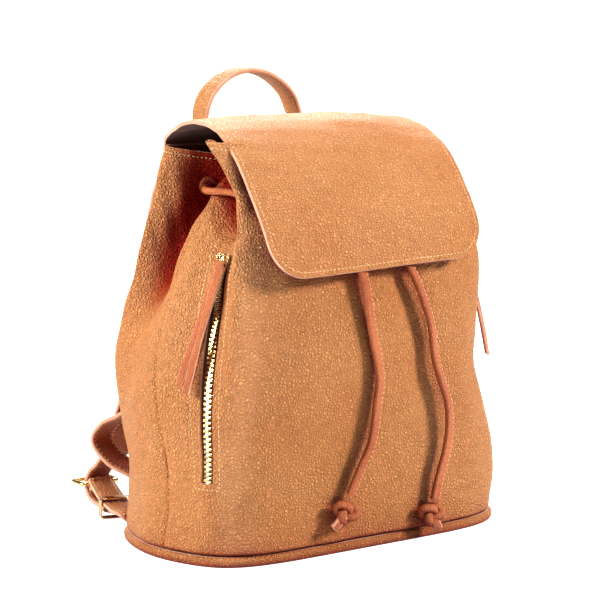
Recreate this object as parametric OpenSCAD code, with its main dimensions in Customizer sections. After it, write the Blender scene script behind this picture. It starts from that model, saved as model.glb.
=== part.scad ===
// Drawstring leather backpack: a gathered leather body with a flap, two side zips,
// a carrying handle, a drawstring and two buckled shoulder straps.
// +Z is up, the front faces -Y, and the origin is the middle of the base's underside.

/* [Body] */
// Scale of the body across its width
wide = 1; // [0.95:0.01:1.05]
// Scale of the body from front to back
deep = 1; // [0.95:0.01:1.05]
// Thickness of the body leather
leather = 2; // [1.6:0.2:2.4]
// Thickness of the lining cloth
cloth = 0.8; // [0.6:0.1:1]
// Height of the leather base's turned-up edge
base_edge = 10; // [8:1:12]

/* [Flap] */
// Half width of the flap
flap_half = 90; // [86:1:94]
// Radius of the flap's front corners
flap_corner = 26; // [18:1:30]
// Thickness of the flap's outer leather
flap_leather = 1.8; // [1.4:0.2:2.2]

/* [Handle and straps] */
// Width of the handle strap
handle_w = 24; // [20:1:26]
// Thickness of the handle strap
handle_t = 4; // [3:0.5:4.5]
// Width of a shoulder strap at its top
strap_w = 30; // [26:1:32]
// Width of a shoulder strap's tail
tail_w = 20; // [18:1:21]
// Thickness of a shoulder strap
strap_t = 3.2; // [2.8:0.2:3.4]

/* [Zips] */
// Width of the zip chain
chain_w = 5; // [4.5:0.5:5.5]
// Number of teeth drawn on each side of a zip
teeth = 52; // [40:1:60]

/* [Drawstring] */
// Diameter of the drawstring
string_d = 5; // [4.5:0.1:5.5]
// Radius of an eyelet washer
washer_r = 7; // [6:0.5:8]

/* [Hidden] */
$fn = 48;
tan_leather = [0.80, 0.50, 0.27];
dark_leather = [0.55, 0.20, 0.10];
raw_edge = [0.80, 0.56, 0.48];
brass = [0.90, 0.78, 0.50];
lining_cloth = [0.42, 0.25, 0.17];

// Heights of the body's rings, from the base seam to the rim.
ring_z = [base_edge, 55, 140, 205, 245, 275];
// Each ring's left half in plan, from the front's middle to the back's middle. The points are the
// front's middle, quarter and edge, the front corner, the zip, the side seam, the gusset fold,
// the back corner, then the back's edge, quarter and middle.
rings = [
    [[0, -76], [-40, -76], [-78, -75], [-106, -69], [-125, -54], [-139, -20], [-139, 18],
        [-123, 57], [-78, 75], [-40, 76], [0, 76]],
    [[0, -77], [-40, -77], [-77, -75], [-105, -70], [-124, -56], [-134, -19], [-134, 16],
        [-121, 53], [-77, 72], [-40, 75], [0, 76]],
    [[0, -84], [-42, -83], [-82, -79], [-105, -67], [-111, -47], [-134, -12], [-139, 20],
        [-125, 50], [-80, 70], [-42, 75], [0, 76]],
    [[0, -72], [-38, -72], [-76, -68], [-104, -56], [-101, -40], [-107, -10], [-108, 18],
        [-116, 42], [-76, 62], [-40, 66], [0, 66]],
    [[0, -50], [-34, -52], [-68, -46], [-92, -30], [-80, -22], [-82, -5], [-76, 17],
        [-106, 44], [-70, 53], [-36, 55], [0, 55]],
    [[0, -32], [-32, -33], [-64, -28], [-91, -15], [-74, -8], [-78, 4], [-70, 16],
        [-98, 42], [-66, 47], [-34, 48], [0, 48]]];
seam = 5;              // station of the side seam
zip_s = 4;             // station of the zip
zip_v = [1.03, 3.08];  // the zip's foot and top along the rings
window = 9;            // width of the opening that shows the zip
full_turn = 20;        // stations all round a ring
per_station = 3;       // columns of a panel's facets to a station, and rows to a ring
seam_gap = 0.012;      // stations between a panel's edge and the side seam
top_v = len(rings) - 1;

// The zip runs straight from its top to its foot along the front corner's fold.
zip_top = body_in(zip_s, zip_v[1], -1);
zip_foot = body_in(zip_s, zip_v[0], -1);
zip_run = norm(zip_foot - zip_top);
zip_dir = (zip_foot - zip_top) / zip_run;
zip_out = orth(body_normal(zip_s, 2), zip_dir);
zip_side = cross(zip_out, zip_dir);

// The flap's side profile in Y and Z, from its sewn root over the mouth to its front edge.
flap_path = [[57, 256], [55.5, 268], [50.5, 279.5], [38, 287], [16, 293], [-8, 290.5],
    [-24, 283], [-41, 269], [-57.5, 249], [-73, 226], [-85.5, 196]];
flap_seam = 2.1;       // where the root ends and the flap's top starts, along flap_path
flap_bend = 6.55;      // where the top ends and the front starts
flap_gap = 0.05;       // half the gap at a fold, along flap_path
flap_crown = 3;
flap_bow = 7.5;        // how far the root's ends bend round the back corners

eyelet_v = 4.06;       // the eyelets' height along the rings
snap_v = 3.5;          // the snap's height along the rings
eyelets = [0.45, 2.6, 5.6];
// Half of the drawstring's way round the mouth, from the front's middle to the back's, as
// stations and distances from the leather: it goes out and in through the eyelets.
string_way = [[0.45, 3], [0.45, -6], [1.1, -9], [1.9, -9], [2.6, -6], [2.6, 3.5], [3, 5.5],
    [3.3, 6], [3.9, 8], [4.7, 7], [5.6, 3.5], [5.6, -6], [6.3, -8], [7.1, -9], [8.2, -8],
    [9.4, -8]];

// A free end of the drawstring: from its eyelet down under the flap to its knot.
string_left = [[-15, -54, 247], [-16, -58, 240.5], [-17, -67.2, 224], [-19, -76, 207],
    [-19, -83, 186], [-16, -86.5, 165], [-11, -88.5, 140], [-8, -88, 116], [-10, -86.5, 92],
    [-17, -84, 66], [-27, -83.5, 44]];
string_right = [[15, -54, 247], [16, -58, 240.5], [17, -67.2, 224], [19, -76, 207],
    [23, -83, 186], [32, -86.5, 165], [38, -88.5, 144], [41, -87.5, 125], [51, -86, 100],
    [52, -84, 78], [47, -83.5, 54], [43, -83.5, 44]];

// Left shoulder strap: position, direction of its width, and width. It comes down from the
// patch, passes the buckle, lies under the lower strap and ends in a curled tail.
strap_route = [
    [[-79, 62, 238], [1, 0, 0], strap_w], [[-80.5, 62.4, 230], [1, 0, 0], strap_w],
    [[-80, 74, 205], [1, 0, 0], strap_w], [[-79, 81, 178], [1, 0, 0], strap_w],
    [[-80, 84, 145], [1, 0, 0], strap_w], [[-83, 90, 112], [1, 0, 0], strap_w],
    [[-86, 106, 80], [1, 0, 0], 28],
    [[-86, 124, 50], [1, 0, 0], 26], [[-87, 140, 34], [1, 0, 0], 22],
    [[-88, 152, 25], [1, 0, 0], tail_w], [[-89, 157, 15], [1, 0, 0], tail_w],
    [[-90, 151, 7], [1, 0, 0], tail_w], [[-93, 138, 5], [1, -0.2, 0], tail_w],
    [[-98, 118, 6], [1, -0.25, 0], tail_w], [[-103, 100, 7], [1, -0.25, 0], tail_w],
    [[-92, 88, 8], [1, -0.1, 0], tail_w], [[-87, 81, 20], [1, 0.1, 0], tail_w],
    [[-90, 85, 33], [1, 0.1, 0], tail_w], [[-106, 98, 45], [1, 0.2, 0], tail_w],
    [[-112, 107, 59], [1, 0.2, 0], tail_w], [[-109, 99, 72], [1, 0.1, 0], tail_w],
    [[-103, 86, 79], [1, 0, 0], tail_w], [[-97, 79, 84], [1, 0, 0], 14]];
// The lower strap, from its tab at the base corner to the buckle's bar.
lower_route = [
    [[-115, 65.5, 13], [0.9, -0.4, 0], 7], [[-113, 73, 12.5], [0.9, -0.4, 0], 20],
    [[-109, 88, 12.5], [0.95, -0.3, 0], 20], [[-103, 108, 13], [0.97, -0.25, 0], 20],
    [[-97, 126, 14.5], [1, -0.15, 0], 20], [[-92.3, 141, 16.8], [1, 0, 0], 20]];
// The strap's top end, sewn flat to the back above the free strap.
patch_route = [
    [[-78.9, 62, 238.8], [1, 0, 0], strap_w], [[-78.4, 61.7, 242], [1, 0, 0], strap_w],
    [[-78, 58, 249], [1, 0, 0], strap_w], [[-78, 55.6, 254], [1, 0, 0], strap_w]];
bar = [-91, 146, 17];   // middle of the buckle's heel bar
frame_w = 30;
frame_l = 17;
wire_r = 1.6;
prong_up = wire_r + 1.2;

// ---- helpers ----
function spline(a, b, c, d, t) =
    0.5 * (2 * b + (c - a) * t + (2 * a - 5 * b + 4 * c - d) * t * t
    + (3 * b - a - 3 * c + d) * t * t * t);
// Point at t along a list of points, for whole numbers of t passing through each of them.
function along(p, t) = let (n = len(p) - 1, i = min(max(floor(t), 0), n - 1), f = t - i)
    spline(i > 0 ? p[i - 1] : 2 * p[0] - p[1], p[i], p[i + 1],
        i < n - 1 ? p[i + 2] : 2 * p[n] - p[n - 1], f);
function unit(v) = v / norm(v);
function orth(v, t) = unit(v - (v * t) * t);
function station(ring, i) = let (k = ((i % full_turn) + full_turn) % full_turn)
    k <= 10 ? [ring[k][0] * wide, ring[k][1] * deep]
        : [-ring[full_turn - k][0] * wide, ring[full_turn - k][1] * deep];
function ring_at(ring, s) = let (i = floor(s))
    spline(station(ring, i - 1), station(ring, i), station(ring, i + 1),
        station(ring, i + 2), s - i);
// A point of the body's outer surface, s stations round from the front's middle, v rings up.
function body(s, v) = along([for (k = [0:top_v])
    let (p = ring_at(rings[k], s)) [p[0], p[1], ring_z[k]]], v);
function body_normal(s, v) = let (h = 0.05, v0 = max(v - h, 0), v1 = min(v + h, top_v))
    unit(cross(body(s, v1) - body(s, v0), body(s + h, v) - body(s - h, v)));
function body_in(s, v, d) = body(s, v) + d * body_normal(s, v);
function steps(a, b, n) = [for (i = [0:n]) a + (b - a) * i / n];
function frame_ring(c, t, w, width, thick) = let (u = orth(w, t), n = cross(t, u))
    [c - u * width / 2 - n * thick / 2, c + u * width / 2 - n * thick / 2,
        c + u * width / 2 + n * thick / 2, c - u * width / 2 + n * thick / 2];

// ---- solids from grids of points ----
// A closed solid between two grids of the same size, such as a panel's two faces.
module between(outer, inner) {
    rows = len(outer);
    cols = len(outer[0]);
    count = rows * cols;
    rim = concat([for (c = [0:cols - 1]) c],
        [for (r = [1:rows - 1]) r * cols + cols - 1],
        [for (c = [cols - 2:-1:0]) (rows - 1) * cols + c],
        [for (r = [rows - 2:-1:1]) r * cols]);
    polyhedron(points = concat([for (r = outer) each r], [for (r = inner) each r]),
        faces = concat(
            [for (r = [0:rows - 2], c = [0:cols - 2])
                each let (a = r * cols + c) [[a, a + 1, a + cols], [a + 1, a + cols + 1, a + cols]]],
            [for (r = [0:rows - 2], c = [0:cols - 2])
                each let (a = count + r * cols + c)
                    [[a, a + cols, a + 1], [a + 1, a + cols, a + cols + 1]]],
            [for (i = [0:len(rim) - 1])
                each let (a = rim[i], b = rim[(i + 1) % len(rim)])
                    [[a, a + count, b], [b, a + count, b + count]]]));
}

// A closed tube or band through rings of points.
module through(loops) {
    n = len(loops[0]);
    last = len(loops) - 1;
    polyhedron(points = [for (r = loops) each r],
        faces = concat(
            [for (r = [0:last - 1], i = [0:n - 1])
                each let (a = r * n + i, b = r * n + (i + 1) % n)
                    [[a, b, a + n], [b, b + n, a + n]]],
            [for (i = [1:n - 2]) [0, i + 1, i]],
            [for (i = [1:n - 2]) [last * n, last * n + i, last * n + i + 1]]));
}

// A flat strap along a route of [position, direction of the width, width].
module band(route, thick, per = 2) {
    places = [for (r = route) r[0]];
    sides = [for (r = route) r[1]];
    widths = [for (r = route) [r[2], 0]];
    end = len(route) - 1;
    through([for (t = steps(0, end, end * per))
        let (a = max(t - 0.02, 0), b = min(t + 0.02, end))
        frame_ring(along(places, t), unit(along(places, b) - along(places, a)),
            along(sides, t), along(widths, t)[0], thick)]);
}

// A round cord along a route of points.
module cord(route, d, per = 2, sides = 8) {
    end = len(route) - 1;
    through([for (t = steps(0, end, end * per))
        let (a = max(t - 0.02, 0), b = min(t + 0.02, end),
            dir = unit(along(route, b) - along(route, a)),
            u = orth([0, 0.3, 1] + (abs(dir[2]) > 0.8 ? [0, 2, -1] : [0, 0, 0]), dir),
            w = cross(dir, u))
        [for (i = [0:sides - 1])
            along(route, t) + d / 2 * (u * cos(i * 360 / sides) + w * sin(i * 360 / sides))]]);
}

module both_sides(right) {
    if (right) mirror([1, 0, 0]) children();
    else children();
}

// Puts the children on a plane whose X, Y and Z run along a, b and c, from the point p.
module on_axes(p, a, b, c) {
    multmatrix([[a[0], b[0], c[0], p[0]], [a[1], b[1], c[1], p[1]],
        [a[2], b[2], c[2], p[2]], [0, 0, 0, 1]]) children();
}

// Puts the children on the zip at a distance down it, Y along the zip and Z outwards.
module on_zip(down) {
    on_axes(zip_top + zip_dir * down, zip_side, -zip_dir, zip_out) children();
}

// ---- the body ----
// A patch of the body between two distances from its surface.
module patch(stations, heights, outside, inside) {
    between([for (v = heights) [for (s = stations) body_in(s, v, outside)]],
        [for (v = heights) [for (s = stations) body_in(s, v, inside)]]);
}

// Puts the children on an eyelet, with Z along the cord's way out.
module on_eyelet(s, side = 1) {
    n = body_normal(side * s, eyelet_v);
    u = orth([0, 0, 1], n);
    on_axes(body(side * s, eyelet_v), u, cross(n, u), n) children();
}

// Facet lines from a to b. Layers that lie on one another share them, so they stay parallel.
function grid(a, b) = steps(a, b, round((b - a) * per_station));
function panel_columns(a, b) = let (inner = grid(a, b), last = len(inner) - 1)
    [for (i = [0:last]) inner[i] + (i == 0 ? seam_gap : i == last ? -seam_gap : 0)];

module eyelet_holes() for (s = eyelets, side = [-1, 1])
    on_eyelet(s, side) translate([0, 0, -4.5]) cylinder(r = string_d / 2 + 0.5, h = 6);

module front_panel() color(tan_leather) difference() {
    patch(panel_columns(-seam, seam), grid(0, top_v), 0, -leather);
    eyelet_holes();
    for (right = [false, true]) both_sides(right) on_zip(zip_run / 2)
        cube([window, zip_run + 4, 12], center = true);
}

module back_panel() color(tan_leather) difference() {
    patch(panel_columns(seam, full_turn - seam), grid(0, top_v), 0, -leather);
    eyelet_holes();
}

// The ring's own outline at the base seam, moved out by d.
function base_outline(d) = [for (s = [0:0.5:full_turn - 0.5])
    let (p = body_in(s, 0, d)) [p[0], p[1]]];

module base_panel() color(tan_leather) difference() {
    linear_extrude(base_edge - 0.9) polygon(base_outline(-0.2));
    translate([0, 0, leather]) linear_extrude(base_edge) polygon(base_outline(-0.2 - leather));
}

module base_board() color(dark_leather)
    translate([0, 0, leather]) linear_extrude(2.5) polygon(base_outline(-leather - 1));

lining_v = 11 / 3;     // where the lining ends and the mouth's facing starts
round_grid = steps(0, full_turn - 1 / per_station, full_turn * per_station - 1);
module lining() color(lining_cloth) {
    depth = -leather - 3.2;
    low = leather + 3;
    heights = grid(0, lining_v);
    outer = [for (v = heights) [for (s = round_grid)
        let (p = body_in(s, v, depth)) [p[0], p[1], v == 0 ? low : p[2]]]];
    inner = [for (i = [len(heights) - 1:-1:0]) [for (s = round_grid)
        let (p = body_in(s, heights[i], depth - cloth)) [p[0], p[1], i == 0 ? low + cloth : p[2]]]];
    through(concat(outer, inner));
}

// The leather facing inside the mouth, which the eyelets go through.
module mouth_facing() color(dark_leather) difference() {
    depth = -leather - 0.2;
    heights = grid(lining_v, top_v);
    sleeve([for (v = heights) [for (s = round_grid) body_in(s, v, depth)]],
        [for (v = heights) [for (s = round_grid) body_in(s, v, depth - 1)]]);
    eyelet_holes();
}

// A closed sleeve between an outer and an inner grid that both run all the way round.
module sleeve(outer, inner) {
    rows = len(outer);
    cols = len(outer[0]);
    count = rows * cols;
    next = function (i) (i + 1) % cols;
    polyhedron(points = concat([for (r = outer) each r], [for (r = inner) each r]),
        faces = concat(
            [for (r = [0:rows - 2], c = [0:cols - 1])
                each let (a = r * cols + c, b = r * cols + next(c))
                    [[a, b, a + cols], [b, b + cols, a + cols]]],
            [for (r = [0:rows - 2], c = [0:cols - 1])
                each let (a = count + r * cols + c, b = count + r * cols + next(c))
                    [[a, a + cols, b], [b, a + cols, b + cols]]],
            [for (c = [0:cols - 1]) each let (a = c, b = next(c))
                [[a, a + count, b], [b, a + count, b + count]]],
            [for (c = [0:cols - 1])
                each let (a = (rows - 1) * cols + c, b = (rows - 1) * cols + next(c))
                    [[a, b, a + count], [b, b + count, a + count]]]));
}

module eyelet_washers() color(dark_leather) for (s = eyelets, side = [-1, 1])
    on_eyelet(s, side) translate([0, 0, 0.9]) difference() {
        cylinder(r = washer_r, h = 1.2);
        translate([0, 0, -1]) cylinder(r = string_d / 2 + 0.4, h = 4);
    }

module drawstring_loop() color(dark_leather) {
    half = [for (w = string_way) body_in(w[0], eyelet_v, w[1])];
    cord(concat(half, [body_in(10, eyelet_v, -8)],
        [for (i = [len(half) - 1:-1:0]) [-half[i][0], half[i][1], half[i][2]]]), string_d, 2, 8);
}

module drawstring_end_left() color(dark_leather) cord(string_left, string_d, 3);
module drawstring_end_right() color(dark_leather) cord(string_right, string_d, 3);

// A half hitch tied in the cord, with the cord's cut tail under it.
module knot(at, lean) color(dark_leather) translate(at) rotate([0, lean, 0]) {
    rotate([90, 0, 0]) rotate_extrude() translate([4, 0]) circle(d = 9);
    translate([0, -1, -11]) cylinder(d = string_d, h = 12, center = true);
}

module snap_socket() color(brass) on_snap(0.4) difference() {
    cylinder(r = 8.5, h = 4);
    translate([0, 0, 3]) cylinder(r = 3.6, h = 3);
}

module snap_stud() color(brass) on_snap(4.5) {
    cylinder(r = 8.5, h = 3);
    translate([0, 0, -0.7]) cylinder(r = 2.4, h = 1.6);
}

// The magnetic snap stands on the middle of the front, under the flap.
module on_snap(lift) {
    n = body_normal(0, snap_v);
    on_axes(body_in(0, snap_v, lift), [1, 0, 0], cross(n, [1, 0, 0]), n) children();
}

// ---- the flap ----
function flap_point(x, t, lift) = let (a = along(flap_path, t - 0.03), b = along(flap_path, t + 0.03),
        d = unit(b - a), p = along(flap_path, t) + lift * [-d[1], d[0]] * -1,
        crown = flap_crown * (1 - pow(x / flap_half, 2)) * sin(180 * min(max((t - 2) / 5, 0), 1)))
    [x, p[0] - flap_bow * pow(x / flap_half, 2) * max(1 - t / 2, 0), p[1] + crown];
front_end = len(flap_path) - 1;
front_step = norm(flap_path[front_end] - flap_path[front_end - 1]);
// Half the flap's width at t, rounded at the front corners.
function flap_width(t) = let (from_end = (front_end - t) * front_step,
        d = max(flap_corner - from_end, 0))
    flap_half - flap_corner + sqrt(max(pow(flap_corner, 2) - pow(d, 2), 0));
function flap_grid(ts, lift, inset) = [for (t = ts) [for (x = steps(-1, 1, 10))
    flap_point(x * (flap_width(t) - inset), t, lift)]];
module flap_part(ts, low, high, inset = 0)
    between(flap_grid(ts, high, inset), flap_grid(ts, low, inset));
root_ts = steps(0, flap_seam - flap_gap, 4);
top_ts = steps(flap_seam + flap_gap, flap_bend - flap_gap, 12);
front_ts = concat(steps(flap_bend + flap_gap, 8.9, 6), [9.2, 9.5, 9.7, 9.85, 9.94]);

module flap_root() color(tan_leather) flap_part(root_ts, -1.6, flap_leather);
module flap_top() color(tan_leather) flap_part(top_ts, 0, flap_leather);
module flap_top_lining() color(raw_edge) flap_part(top_ts, -1.4, -0.05, 0.5);
module flap_front() color(tan_leather) flap_part(front_ts, 0, flap_leather);
module flap_front_lining() color(raw_edge) flap_part(front_ts, -1.4, -0.05, 0.5);

// ---- the handle ----
// A sewn tab that carries one foot of the handle.
tab_route = [[[-43, 60.6, 254.6], [1, 0, 0], handle_w - 4], [[-43, 59.4, 250], [1, 0, 0], handle_w],
    [[-43, 58.4, 244], [1, 0, 0], handle_w], [[-43, 60.6, 232], [1, 0, 0], handle_w]];
// Half the handle, from its foot to the top: position, width direction and width.
handle_half = [
    [[-43, 62, 257], [1, 0, 0], handle_w - 4], [[-44, 64.5, 268], [0.9, 0.4, 0], handle_w - 4],
    [[-46, 71, 280], [0.5, 0.9, 0], handle_w - 2], [[-47, 75, 291], [0.1, 1, 0], handle_w],
    [[-41, 76, 308], [0, 1, 0], handle_w], [[-25, 77, 321], [0, 1, 0], handle_w]];
handle_route = concat(handle_half, [[[0, 77, 326], [0, 1, 0], handle_w]],
    [for (i = [len(handle_half) - 1:-1:0]) let (h = handle_half[i])
        [[-h[0][0], h[0][1], h[0][2]], [-h[1][0], h[1][1], h[1][2]], h[2]]]);
module handle_strap() color(tan_leather) band(handle_route, handle_t, 3);

module handle_tabs() color(tan_leather) for (right = [false, true])
    both_sides(right) band(tab_route, 3, 2);

// ---- the zips ----
// The side is 1 for the left zip and -1 for the right one.
module zip_tape(side) color(dark_leather)
    patch(grid(side * zip_s - 1 / 3, side * zip_s + 1 / 3), grid(1, 10 / 3), -leather - 0.5,
        -leather - 1.3);

module zip_teeth() color(brass) {
    pitch = zip_run / teeth;
    for (i = [0:teeth - 1], side = [-1, 1])
        on_zip(pitch * (i + 0.5 + 0.25 * side))
            translate([side * (chain_w / 4 + 0.2), 0, -0.1])
                cube([chain_w / 2 + 0.9, pitch * 0.45, 1.8], center = true);
}

module zip_stops() color(brass) for (down = [-0.8, zip_run + 0.8])
    on_zip(down) cube([chain_w, 1.4, 2], center = true);

// The pocket's cloth hangs behind the zip and opens along it.
module pocket_bag(side) color(lining_cloth) difference() {
    ends = side > 0 ? [8 / 3, 16 / 3] : [-16 / 3, -8 / 3];
    patch(grid(ends[0], ends[1]), grid(2 / 3, 10 / 3), -leather - 1.6, -leather - 2);
    both_sides(side < 0) on_zip(zip_run / 2) cube([chain_w + 3, zip_run + 6, 16], center = true);
}

pull_lift = 5.1;        // how far the bridge's hole is above the zip's line
pull_w = 7.0;           // width of the wire loop
module slider() color(brass) on_zip(5) {
    translate([0, 0, 3.2]) difference() {
        cube([6.6, 10, 1.2], center = true);
        for (side = [-1, 1]) translate([side * 5.4, 7, 0]) cylinder(r = 3.6, h = 3, center = true);
    }
    translate([0, 3.4, pull_lift]) difference() {
        cube([2.4, 4, 3], center = true);
        rotate([0, 90, 0]) cylinder(r = 0.9, h = 6, center = true);
    }
}

// The wire loop that hangs from the slider's bridge.
pull_pivot = zip_top + zip_dir * (5 - 3.4) + zip_out * pull_lift;
tab_lean = -12;
module puller() color(brass) on_axes(pull_pivot, zip_side, -zip_dir, zip_out) {
    rotate([0, 90, 0]) cylinder(r = 0.8, h = pull_w, center = true);
    for (side = [-1, 1]) translate([side * pull_w / 2, 0, 0]) {
        sphere(r = 0.8);
        rotate([90, 0, 0]) cylinder(r = 0.8, h = 8);
        translate([0, -8, 0]) sphere(r = 0.8);
    }
    translate([0, -8, 0]) rotate([0, 90, 0]) cylinder(r = 0.8, h = pull_w, center = true);
}

// A long leather tab folded through the wire loop.
module pull_tab() color(dark_leather) on_axes(pull_pivot, zip_side, -zip_dir, zip_out)
    translate([0, -8, 0]) difference() {
        rotate([-4, 0, tab_lean]) translate([0, -34.3, 0.75]) cube([4.6, 71.4, 3.5], center = true);
        rotate([0, 90, 0]) cylinder(r = 0.95, h = 12, center = true);
    }

// ---- the shoulder straps ----
module strap_patch() color(tan_leather) band(patch_route, strap_t, 2);

// The prong stands in one of the holes punched along the strap.
module shoulder_strap() color(tan_leather) difference() {
    band(strap_route, strap_t, 2);
    translate(bar + [0, 4, prong_up]) rotate([-90, 0, 0]) cylinder(r = 1.5, h = frame_l - 6);
}

module lower_strap() color(tan_leather) band(lower_route, strap_t, 2);

module buckle_frame() color(brass) translate(bar) {
    for (y = [0, frame_l]) translate([0, y, 0]) rotate([0, 90, 0])
        cylinder(r = wire_r, h = frame_w, center = true);
    for (side = [-1, 1]) translate([side * frame_w / 2, 0, 0]) {
        rotate([-90, 0, 0]) cylinder(r = wire_r, h = frame_l);
        for (y = [0, frame_l]) translate([0, y, 0]) sphere(r = wire_r);
    }
}

module buckle_prong() color(brass) translate(bar) {
    rotate([0, 90, 0]) difference() {
        cylinder(r = wire_r + 1.3, h = 3, center = true);
        cylinder(r = wire_r + 0.05, h = 4, center = true);
    }
    translate([0, 2, prong_up]) rotate([-90, 0, 0]) cylinder(r = 1.1, h = frame_l - 1);
}

// A flat metal loop round both layers of the strap.
lower_line = [for (r = lower_route) r[0]];
keeper_at = along(lower_line, 2.5);
keeper_dir = unit(along(lower_line, 2.8) - along(lower_line, 2.2));
module keeper() color(brass) {
    side = orth([1, -0.25, 0], keeper_dir);
    on_axes(keeper_at + [1.8, 0, -3.4], side, keeper_dir, cross(side, keeper_dir)) difference() {
        cube([27.4, 7, 15.4], center = true);
        cube([25.2, 9, 12.8], center = true);
    }
}

front_panel();
back_panel();
base_panel();
base_board();
lining();
mouth_facing();
eyelet_washers();
drawstring_loop();
drawstring_end_left();
drawstring_end_right();
knot([-30.3, -83, 34.6], 20);  // knot_left
knot([41.8, -83, 34.3], 8);  // knot_right
snap_socket();
snap_stud();
flap_root();
flap_top();
flap_top_lining();
flap_front();
flap_front_lining();
handle_strap();
handle_tabs();
zip_tape(1);  // zip_tape_left
zip_tape(-1);  // zip_tape_right
zip_teeth();  // zip_teeth_left
mirror([1, 0, 0]) zip_teeth();  // zip_teeth_right
zip_stops();  // zip_stops_left
mirror([1, 0, 0]) zip_stops();  // zip_stops_right
pocket_bag(1);  // pocket_bag_left
pocket_bag(-1);  // pocket_bag_right
slider();  // slider_left
mirror([1, 0, 0]) slider();  // slider_right
puller();  // puller_left
mirror([1, 0, 0]) puller();  // puller_right
pull_tab();  // pull_tab_left
mirror([1, 0, 0]) pull_tab();  // pull_tab_right
strap_patch();  // strap_patch_left
mirror([1, 0, 0]) strap_patch();  // strap_patch_right
shoulder_strap();  // shoulder_strap_left
mirror([1, 0, 0]) shoulder_strap();  // shoulder_strap_right
lower_strap();  // lower_strap_left
mirror([1, 0, 0]) lower_strap();  // lower_strap_right
buckle_frame();  // buckle_frame_left
mirror([1, 0, 0]) buckle_frame();  // buckle_frame_right
buckle_prong();  // buckle_prong_left
mirror([1, 0, 0]) buckle_prong();  // buckle_prong_right
keeper();  // keeper_left
mirror([1, 0, 0]) keeper();  // keeper_right
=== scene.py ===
import math

import bpy
import numpy as np
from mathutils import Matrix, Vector
from mathutils.geometry import convex_hull_2d


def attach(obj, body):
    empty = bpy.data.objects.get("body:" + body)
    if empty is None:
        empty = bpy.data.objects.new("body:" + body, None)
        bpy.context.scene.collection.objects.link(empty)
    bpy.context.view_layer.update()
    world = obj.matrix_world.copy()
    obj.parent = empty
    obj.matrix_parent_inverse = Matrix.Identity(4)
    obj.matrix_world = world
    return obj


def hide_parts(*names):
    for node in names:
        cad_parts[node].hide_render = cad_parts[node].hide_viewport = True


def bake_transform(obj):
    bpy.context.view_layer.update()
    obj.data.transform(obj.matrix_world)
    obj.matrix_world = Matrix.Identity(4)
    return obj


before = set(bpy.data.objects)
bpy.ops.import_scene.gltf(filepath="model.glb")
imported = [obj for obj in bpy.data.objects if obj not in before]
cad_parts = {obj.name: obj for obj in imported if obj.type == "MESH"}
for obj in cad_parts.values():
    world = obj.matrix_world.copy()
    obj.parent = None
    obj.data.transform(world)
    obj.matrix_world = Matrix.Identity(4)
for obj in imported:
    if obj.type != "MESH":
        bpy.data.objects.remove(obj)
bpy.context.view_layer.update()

MM = 0.001
TURN = 20  # stations all round the body
RIM = 5.0  # the rim's height along the rings

# The body's rings from the base seam to the gathered rim, in mm: height, then the left half in
# plan from the front's middle to the back's middle. Stations 3, 4, 5, 6 and 7 are the front
# ridge, the zip and its fold, the side seam's ridge, the deep gusset fold and the back corner.
RINGS = [
    (7, [(0, -76), (-40, -76), (-78, -75), (-106, -69), (-125, -54), (-139, -20), (-139, 18),
          (-123, 57), (-78, 75), (-40, 76), (0, 76)]),
    (55, [(0, -77), (-40, -77), (-77, -75), (-105, -70), (-124, -56), (-134, -19), (-134, 16),
          (-121, 53), (-77, 72), (-40, 75), (0, 76)]),
    (140, [(0, -84), (-42, -83), (-82, -79), (-105, -67), (-112, -47), (-130, -8), (-129, 27),
           (-128, 53), (-80, 70), (-42, 75), (0, 76)]),
    (205, [(0, -72), (-38, -72), (-76, -68), (-104, -57), (-99, -39), (-107, 4), (-74, 32),
           (-113, 52), (-76, 63), (-40, 66), (0, 66)]),
    (245, [(0, -50), (-34, -52), (-64, -50), (-91, -41), (-60, -25), (-87, -4), (-44, 24),
           (-98, 48), (-66, 57), (-36, 55), (0, 55)]),
    (275, [(0, -32), (-32, -33), (-62, -32), (-106, -25), (-62, -12), (-62, 2), (-48, 22),
           (-90, 46), (-62, 50), (-34, 49), (0, 48)]),
]
# How far the rim stands above or below its ring at each station, in mm.
RIM_STEP = (0, 0, 2, 8, 0, -7, -7, 1, 2, 2, 2)
SEAM = 5.0  # the side seam's station
ZIP = 4.0  # the zip's station
ZIP_V = (1.03, 3.08)  # the zip's foot and top along the rings
ZIP_MM = 0.035  # stations to a millimetre across the zip
STATION_MM = 27.0  # millimetres to a station near the side seams
EYELET_V = 4.06
EYELETS = (0.45, 3.45, 6.42)  # their stations: the front, the front ridge and the gusset
# The zip chain's straight line in the CAD, in mm, which the slider runs along.
ZIP_TOP = (-98.71, -38.90, 208.73)
ZIP_FOOT = (-122.91, -55.40, 56.87)
ZIP_OUT = (-0.869, -0.455, 0.188)

# The flap's side profile, in mm, from its sewn root over the mouth to its front edge: Y and Z.
FLAP_PATH = [(57, 256), (55.5, 268), (50.5, 279.5), (38, 287), (16, 293), (-8, 290.5), (-24, 283),
             (-41, 269), (-57.5, 249), (-73, 226), (-85.5, 196)]
FLAP_HALF = 90
FLAP_CORNER = 26
FLAP_MEET = 4.3  # where its two halves meet over the mouth, along FLAP_PATH
FLAP_OUT = 1.5  # its outer face and its lining's, off FLAP_PATH, in mm
FLAP_IN = -1.0
FLAP_HEM = 3.2  # from its edge to its stitches, in mm


# ---- curves and surfaces ----
def cubic(a, b, c, d, f):
    """The Catmull-Rom curve through four points, at the share f of the way from b to c."""
    return 0.5 * (2 * b + (c - a) * f + (2 * a - 5 * b + 4 * c - d) * f**2
                  + (3 * b - a - 3 * c + d) * f**3)


def unit(v):
    return v / np.maximum(np.linalg.norm(v, axis=-1, keepdims=True), 1e-12)


def full_ring(half):
    left = np.array(half, float)
    right = left[1:-1][::-1] * (-1, 1)
    return np.concatenate([left, right])


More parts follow.
